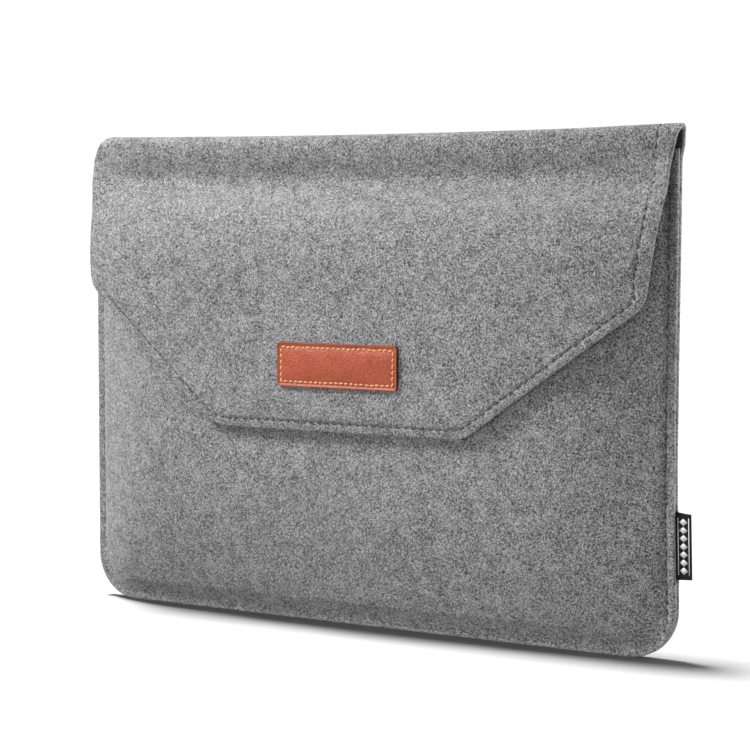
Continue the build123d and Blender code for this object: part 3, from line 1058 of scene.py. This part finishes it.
def label():
    x, depth, nx, nd = label_section()
    v = rows(1, -1, 0.06)[:, None]
    out = smooth((x - 170) / 11)[None, :]
    z = LABEL_Z + v * (LABEL_HALF - 0.8 * out) + 0.25 * np.sin(2.2 * v + 1) * out
    faces = []
    for thick in (0.15, -0.15):
        faces.append(world(x + nx * thick, depth + nd * thick + label_bow(x), z))
    ribbon_piece = solid("label_ribbon", *faces, RIBBON_M)
    return ribbon_piece, label_motif()


def label_motif():
    """A plain woven pattern: small diamonds between two fine lines, on both faces."""
    points, faces = [], []

    def chip(corners, face):
        base = len(points)
        for lift in (0.10, 0.21):
            for cx, cz in corners:
                points.append(world(cx, face * (LABEL_GAP + lift) + label_bow(cx), cz))
        k = len(corners)
        top, low = [base + k + i for i in range(k)], [base + i for i in range(k)]
        faces.append(tuple(top if face > 0 else top[::-1]))
        faces.append(tuple(low[::-1] if face > 0 else low))
        for i in range(k):
            j = (i + 1) % k
            side = (low[i], low[j], top[j], top[i])
            faces.append(side if face > 0 else side[::-1])

    for face in (1, -1):
        for i in range(-3, 4):
            x0, z0, w, h = 176.8, LABEL_Z + 3.8 * i, 2.2, 1.7
            chip([(x0 - w, z0), (x0, z0 - h), (x0 + w, z0), (x0, z0 + h)], face)
        for x0 in (174.0, 179.6):
            left, right, low, high = x0 - 0.2, x0 + 0.2, LABEL_Z - 13.4, LABEL_Z + 13.4
            chip([(left, low), (right, low), (right, high), (left, high)], face)
    return add_mesh("label_pattern", np.array(points), faces, WHITE_M)


patch, patch_stitches = leather_patch()
loop_backings, loop_piles, loop_stitches = tapes("loop_tape", pocket_face, LOOP, 1.25, 0.25, 0.07, 21)
hook_backings, hook_piles, hook_stitches = tapes("hook_tape", flap_inner_face, HOOK, 1.4, 0.04, 0.1, 31)
label_ribbon, label_pattern = label()


# --- Camera, floor and light ---


FLOOR_HALF = 6.0
CAMERA_PLACE = (0.6315, -0.9526, 0.2110)
CAMERA_TURN, CAMERA_TILT = 33.079, 4.155  # degrees to the right of the front, and down


def add_camera():
    data = bpy.data.cameras.new("camera")
    data.sensor_width = 36.0
    data.lens = 109.51
    data.clip_start, data.clip_end = 0.01, 50.0
    camera = place("camera", data)
    turn = Matrix.Rotation(math.radians(CAMERA_TURN), 4, "Z")
    tilt = Matrix.Rotation(math.radians(90 - CAMERA_TILT), 4, "X")
    camera.matrix_world = Matrix.Translation(CAMERA_PLACE) @ (turn @ tilt)
    bpy.context.scene.camera = camera


def area_light(name, position, target, size, power, receivers):
    data = bpy.data.lights.new(name, "AREA")
    data.shape = "RECTANGLE"
    data.size = data.size_y = size
    data.energy = power
    light = place(name, data)
    light.location = position
    light.rotation_euler = (Vector(target) - Vector(position)).to_track_quat("-Z", "Y").to_euler()
    light.light_linking.receiver_collection = receivers
    return light


def pale_floor():
    mesh = bpy.data.meshes.new("floor")
    corners = [(x * FLOOR_HALF, y * FLOOR_HALF, 0) for x, y in ((-1, -1), (1, -1), (1, 1), (-1, 1))]
    mesh.from_pydata(corners, [], [(0, 1, 2, 3)])
    m = Nodes("floor")
    tone = m.noise(m.add("ShaderNodeTexCoord").outputs["Object"], 3.0)
    m.set(Base_Color=m.ramp(tone, [(0.0, grey(0.18)), (1.0, grey(0.19))]), Roughness=0.7)
    mesh.materials.append(m.material)
    floor = place("floor", mesh)
    floor.visible_diffuse = False  # the room fills the shadows, not the floor's glare
    return floor


def white_room():
    """A white world that is brighter to the camera than it is as a light."""
    scene_world = bpy.data.worlds.new("studio")
    bpy.context.scene.world = scene_world
    scene_world.use_nodes = True
    tree = scene_world.node_tree
    background = tree.nodes["Background"]
    background.inputs["Color"].default_value = (1.0, 1.0, 1.0, 1.0)
    path = tree.nodes.new("ShaderNodeLightPath")
    strength = tree.nodes.new("ShaderNodeMapRange")
    tree.links.new(path.outputs["Is Camera Ray"], strength.inputs["Value"])
    strength.inputs["To Min"].default_value = 0.44
    strength.inputs["To Max"].default_value = 1.02
    tree.links.new(strength.outputs[0], background.inputs["Strength"])


def lamps(floor):
    """Soft lamps on the object, and one on the floor alone, which makes the shadow."""
    floor_only = bpy.data.collections.new("lit_floor")
    floor_only.objects.link(floor)
    object_only = bpy.data.collections.new("lit_object")
    for o in bpy.data.objects:
        if o.type in ("MESH", "CURVE") and o.name != "floor":
            object_only.objects.link(o)
    area_light("key", (-0.57, -0.47, 0.85), (0.0, 0.0, 0.14), 0.24, 14.9, object_only)
    low = area_light("low", (0.12, -0.75, 0.10), (0.05, 0.0, 0.06), 0.2, 0.115, object_only)
    low.data.spread = math.radians(50)
    area_light("side", (1.0, 0.32, 0.30), (0.0, 0.0, 0.12), 0.4, 6.5, object_only)
    area_light("back", (0.25, 0.85, 0.75), (0.0, 0.0, 0.15), 0.5, 9.0, object_only)
    sun = bpy.data.lights.new("overhead", "SUN")
    sun.energy, sun.angle = 17.0, math.radians(13)
    overhead = place("overhead", sun)
    overhead.rotation_euler = Vector((-0.2, 0.0, 0.98)).to_track_quat("Z", "Y").to_euler()
    overhead.light_linking.receiver_collection = floor_only


def studio():
    floor = pale_floor()
    white_room()
    lamps(floor)
    view = bpy.context.scene.view_settings
    view.view_transform = "Standard"
    view.look = "None"


# --- Bodies ---


def declare(obj, slot, *nodes):
    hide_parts(*nodes)


def bend(obj):
    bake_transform(obj)


declare(back_felt, "grey_felt", "back_panel", "fold_felt")
declare(back_lining, "plush_lining", "back_lining", "fold_lining")
declare(top_felt, "grey_felt", "roof_felt")
declare(top_lining, "plush_lining", "roof_lining")
declare(flap_felt, "grey_felt", "flap_felt")
declare(flap_lining, "plush_lining", "flap_lining")
declare(front_felt, "grey_felt", "front_panel")
declare(front_lining, "plush_lining", "front_lining")
declare(side_seam_stitches, "grey_thread", "side_seam_thread")
declare(mouth_stitches, "grey_thread", "mouth_thread")
declare(top_edge_stitches, "grey_thread", "roof_edge_thread")
declare(flap_edge_stitches, "grey_thread", "flap_edge_thread")
declare(patch, "tan_leather", "leather_patch")
declare(patch_stitches, "tan_thread", "leather_patch_thread")
declare(label_ribbon, "black_ribbon", "label_tail", "side_label")
declare(loop_stitches, "black_thread", "loop_tape_thread")
declare(hook_stitches, "black_thread", "hook_tape_thread")
for kind, backings, piles, body in (
    ("loop_tape", loop_backings, loop_piles, "sleeve"),
    ("hook_tape", hook_backings, hook_piles, "flap"),
):
    for side, backing, tufts in zip(SIDES, backings, piles):
        declare(backing, "tape", f"{kind}_{side}")
        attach(backing, body)
        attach(tufts, body)

for piece in (back_felt, back_lining):
    bend(piece)
for piece in (top_felt, top_lining, top_edge_stitches):
    bend(piece)
for piece in (flap_felt, flap_lining, flap_edge_stitches):
    bend(piece)
for piece in (label_ribbon, label_pattern):
    bend(piece)
for piece in (front_felt, front_lining, side_seam_stitches, mouth_stitches, loop_stitches):
    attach(piece, "sleeve")
for piece in (patch, patch_stitches, hook_stitches):
    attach(piece, "flap")

add_camera()
studio()
